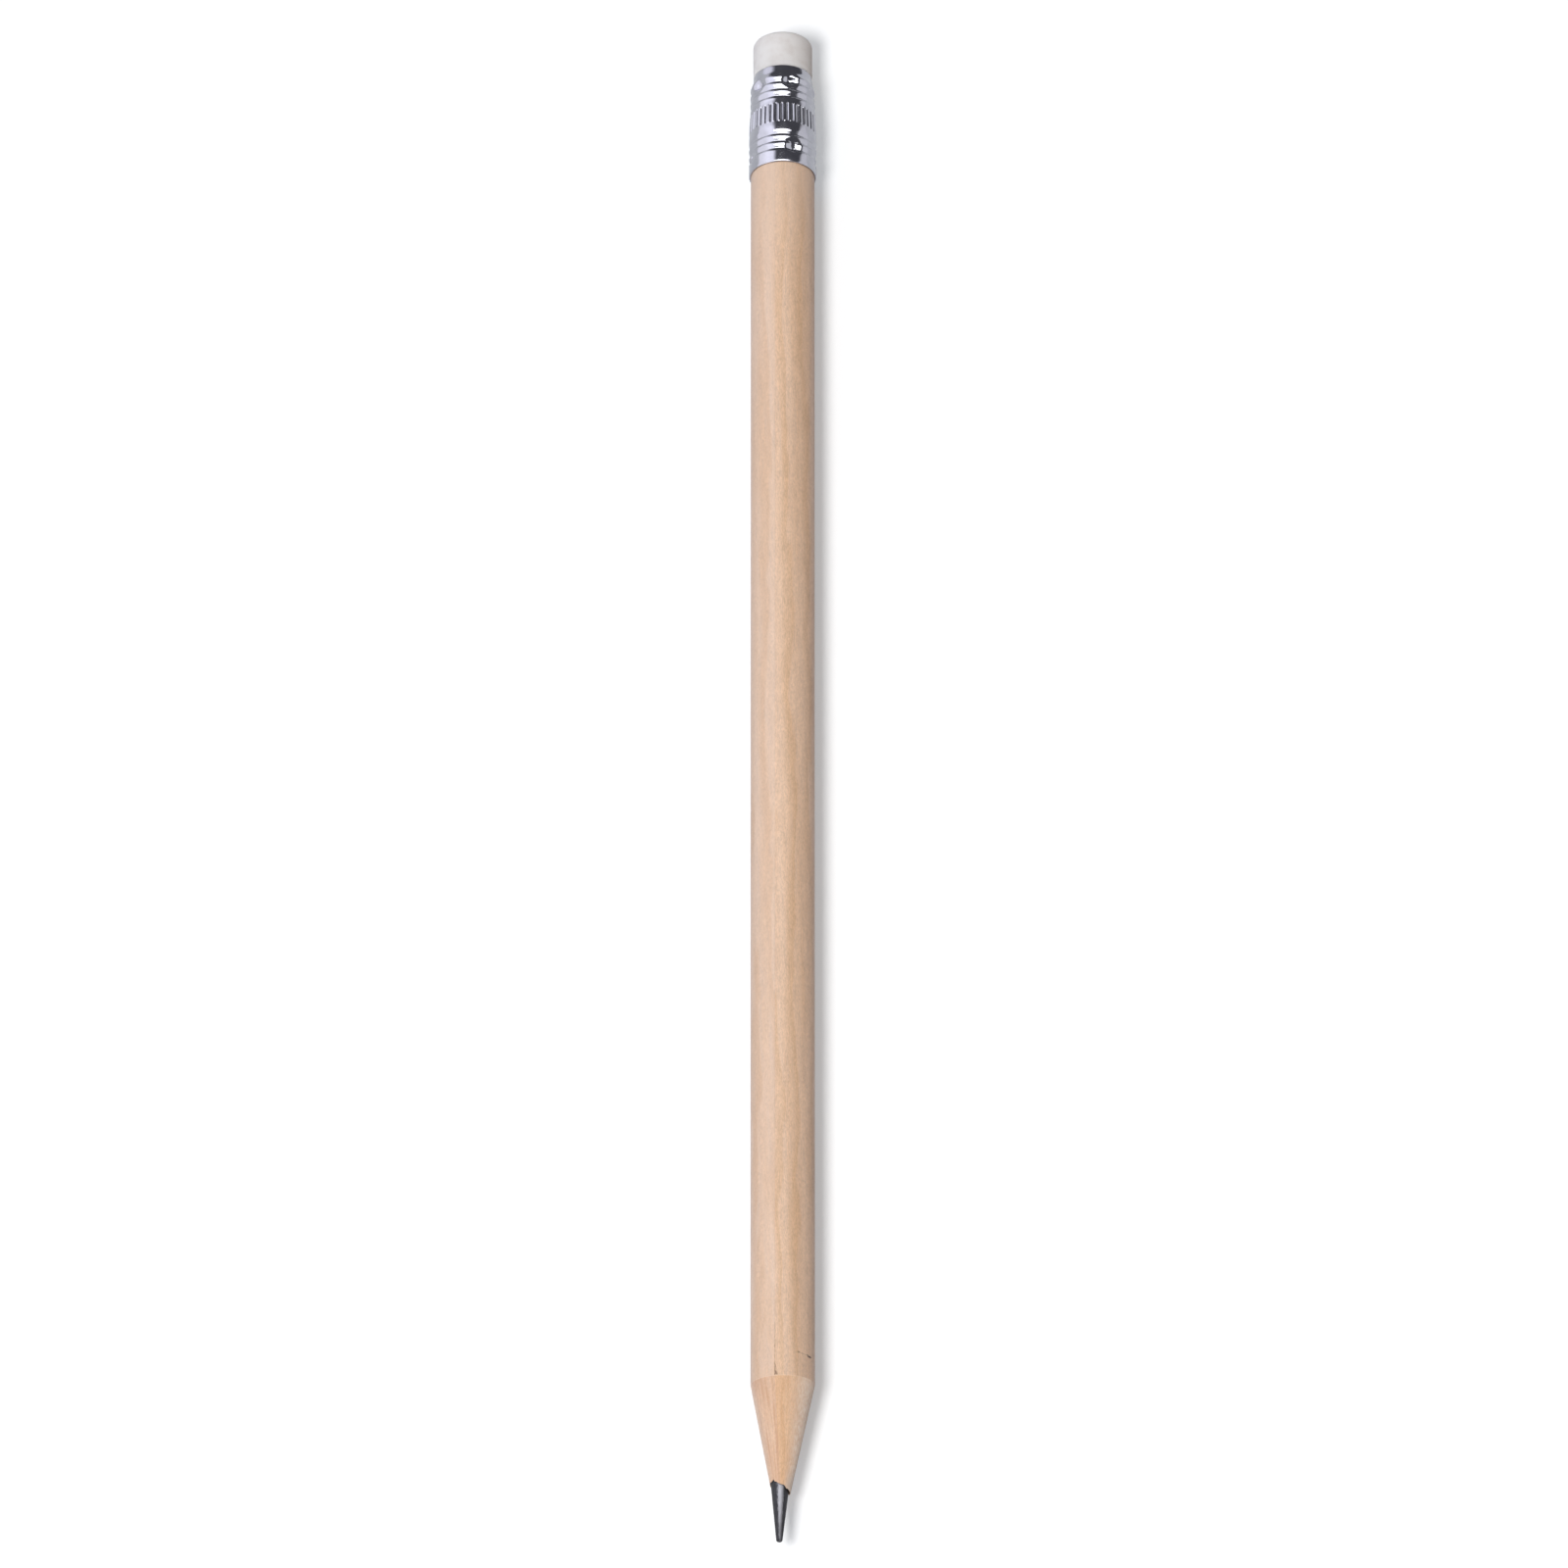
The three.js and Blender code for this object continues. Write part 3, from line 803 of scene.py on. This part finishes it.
def graphite():
    """Dull grey, with three light bands round the cone, a painted highlight that also stands for the
    sharpener's burnish, fading towards the tip.
    """
    finish = Finish("graphite")
    lines = finish.noise((0.045, 2.2, 0.045), 3, 3)
    clouds = finish.noise((0.4, 1.2, 0.4), 8, 3)
    split = finish.parts(finish.framed((CORE_X - 0.04 * MM, 0, AXIS_Z), (1, 1, 1)))
    angle = finish.maths("ARCTAN2", split["X"], split["Z"])
    angle = finish.maths("ADD", angle, finish.ramp(lines, 0.3, 0.7, -0.2, 0))
    # Painted highlight: three light bands round the point, partly burnish, weaker near the tip
    highlight_bands = finish.maths("COSINE", finish.maths("MULTIPLY", angle, 3))
    worn = finish.ramp(finish.parts(finish.place)["Y"], TIP_Y + 0.3 * MM, TIP_Y + 5 * MM, 0.4, 1)
    burnish_and_highlight = finish.maths("MULTIPLY", finish.ramp(highlight_bands, 0.1, 0.8), worn)
    colour = finish.mix(finish.ramp(lines, 0.35, 0.65), DARK_LEAD, GREY_LEAD)
    colour = finish.mix(burnish_and_highlight, colour, BURNISH_AND_HIGHLIGHT_LEAD)
    finish.set(base_color=colour, roughness=finish.ramp(clouds, 0.35, 0.65, 0.36, 0.5), metallic=0.5)
    finish.bump(lines, 0.01 * MM, 0.5)
    return finish.material


def aluminium():
    """Bright rolled sheet, with faint smears and rolling lines."""
    finish = Finish("bright_aluminium")
    rolled = finish.noise((0.05, 2.5, 0.05), 5, 2)
    smears = finish.noise((1.2, 1.6, 1.2), 11, 4)
    colour = finish.mix(finish.ramp(smears, 0.35, 0.65), DULL_SHEET, BRIGHT_SHEET)
    finish.set(base_color=colour, roughness=finish.ramp(smears, 0.35, 0.65, 0.1, 0.16), metallic=1.0)
    finish.bump(rolled, 0.004 * MM, 0.4)
    return finish.material


def white_rubber():
    """Soft matte white, slightly clouded, with a few specks."""
    finish = Finish("white_rubber")
    grains = finish.noise((0.12, 0.12, 0.12), 2, 3)
    clouds = finish.noise((1.6, 1.6, 1.6), 9, 3)
    specks = finish.noise((0.25, 0.25, 0.25), 17, 1)
    colour = finish.mix(finish.ramp(clouds, 0.4, 0.66), CLEAN_RUBBER, DULL_RUBBER)
    colour = finish.mix(finish.ramp(specks, 0.72, 0.8, 0, 0.5), colour, RUBBER_SPECK)
    finish.set(base_color=colour, roughness=finish.ramp(grains, 0.3, 0.7, 0.8, 0.95))
    finish.set(subsurface_weight=0.8, subsurface_scale=2 * MM, subsurface_radius=(1, 1, 1))
    finish.bump(grains, 0.02 * MM, 0.6)
    return finish.material


def dress(piece, node, slot, *materials):
    """Gives a piece its finish, and puts it in the place of its node."""
    for material in materials:
        piece.data.materials.append(material)
    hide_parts(node)
    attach(piece, "root")


left_slat = turned_casing("left_slat")
right_slat = copied(left_slat, "right_slat")
left_planed = planed_wood("left_planed", LEFT_PLANED, ring_x=LEFT_RING_X, contrast=0.65)
# The cut finishes' last setting is how strongly painted light and fuzzy tufts pale the cone's right side
left_cut = cut_wood("left_cut", LEFT_CUT, ring_x=LEFT_RING_X, fibre_depth=0.7, side_light_and_fuzz=0.3)
slat(left_slat, -1, left_planed, left_cut)
dress(left_slat, "slat_left", "pale_wood")
right_planed = planed_wood("right_planed", RIGHT_PLANED, ring_x=RIGHT_RING_X, contrast=1.0, nicks=NICKS)
right_cut = cut_wood("right_cut", RIGHT_CUT, ring_x=RIGHT_RING_X, fibre_depth=0.45, side_light_and_fuzz=0.9)
slat(right_slat, 1, right_planed, right_cut)
dress(right_slat, "slat_right", "warm_wood")
dress(lead("lead"), "graphite_core", "graphite", graphite())
dress(ferrule("sleeve"), "ferrule", "bright_aluminium", aluminium())
dress(eraser("rubber"), "eraser", "white_rubber", white_rubber())

# Stage


def pale_floor():
    """A pale floor that takes the shadow, glows to the camera and in metal, and throws little light back."""
    bpy.ops.object.select_all(action="DESELECT")
    bpy.ops.mesh.primitive_plane_add(size=FLOOR_SIZE, location=(0, 0, 0))
    floor = bpy.context.object
    floor.name = "floor"
    finish = Finish("floor")
    path = finish.add("ShaderNodeLightPath").outputs
    shown = finish.maths("MAXIMUM", path["Is Camera Ray"], path["Is Transmission Ray"])
    seen = finish.maths("MAXIMUM", shown, path["Is Glossy Ray"])
    colour = finish.mix(shown, FLOOR_BOUNCE, FLOOR_TONE)
    glow = finish.maths("MULTIPLY", seen, FLOOR_GLOW)
    finish.set(base_color=colour, roughness=1.0, specular_ior_level=0)
    finish.set(emission_strength=glow, emission_color=FLOOR_GLOW_COLOUR)
    floor.data.materials.append(finish.material)


def studio():
    """Soft light all round, which the metal mirrors as a bright left, a dark middle and a paler right."""
    world = bpy.data.worlds.new("studio")
    bpy.context.scene.world = world
    world.use_nodes = True
    nodes = Nodes(world.node_tree)
    direction = nodes.add("ShaderNodeTexCoord").outputs["Generated"]
    split = nodes.add("ShaderNodeSeparateXYZ", {0: direction}).outputs
    mirrored = nodes.mix(nodes.ramp(split["X"], -0.86, -0.7), MIRRORED_FAR_LEFT, MIRRORED_LEFT)
    middle = nodes.mix(nodes.ramp(split["Y"], -0.82, -0.6), MIRRORED_FRONT, MIRRORED_DARK)
    mirrored = nodes.mix(nodes.ramp(split["X"], -0.5, -0.3), mirrored, middle)
    mirrored = nodes.mix(nodes.ramp(split["X"], 0.72, 0.8), mirrored, MIRRORED_RIGHT)
    back = nodes.ramp(split["Y"], 0.55, 0.66)
    back = nodes.maths("MULTIPLY", back, nodes.ramp(split["X"], -0.6, -0.35, 0.3, 1))
    back = nodes.maths("MULTIPLY", back, nodes.ramp(split["X"], 0.7, 0.78, 1, 0.35))
    mirrored = nodes.mix(back, mirrored, MIRRORED_DARK)
    lit = nodes.mix(nodes.ramp(split["X"], -0.85, -0.6), FILL_FAR_LEFT, FILL_LEFT)
    lit = nodes.mix(nodes.ramp(split["X"], -0.45, -0.15), lit, FILL_MIDDLE)
    lit = nodes.mix(nodes.ramp(split["X"], 0.4, 0.7), lit, FILL_RIGHT)
    lit = nodes.mix(nodes.ramp(split["Y"], 0.6, 0.85), lit, FILL_BACK)
    glossy = nodes.add("ShaderNodeLightPath").outputs["Is Glossy Ray"]
    nodes.plug(world.node_tree.nodes["Background"].inputs["Color"], nodes.mix(glossy, lit, mirrored))


def soft_box(name, place, aim, width, length, watts):
    """A soft oval lamp overhead, turned to a place on the pencil."""
    lamp = bpy.data.lights.new(name, "AREA")
    lamp.shape = "ELLIPSE"
    lamp.size = width
    lamp.size_y = length
    lamp.energy = watts
    box = bpy.data.objects.new(name, lamp)
    box.location = place
    away = Vector(place) - Vector(aim)
    box.rotation_euler = (-math.atan2(away.y, away.z), math.atan2(away.x, math.hypot(away.y, away.z)), 0)
    box.visible_camera = False
    bpy.context.scene.collection.objects.link(box)
    return box


def camera():
    """A long lens high over the point's side, with the whole pencil in frame."""
    eye = bpy.data.objects.new("camera", bpy.data.cameras.new("camera"))
    eye.data.lens = VIEW_LENS
    eye.data.sensor_width = VIEW_SENSOR
    eye.data.clip_end = VIEW_REACH
    towards = Vector((0, -math.sin(VIEW_TILT), math.cos(VIEW_TILT)))
    middle = Vector((*FRAME_MIDDLE, AXIS_Z))
    eye.location = middle + towards * FRAME_HEIGHT * VIEW_LENS / VIEW_SENSOR
    eye.rotation_euler = (VIEW_TILT, 0, 0)
    bpy.context.scene.collection.objects.link(eye)
    bpy.context.scene.camera = eye


pale_floor()
studio()
key = soft_box("key", *KEY_LAMP)
key.visible_glossy = False
top = soft_box("top", *TOP_LAMP)
top.visible_diffuse = False
camera()
bpy.context.scene.view_settings.view_transform = "Standard"
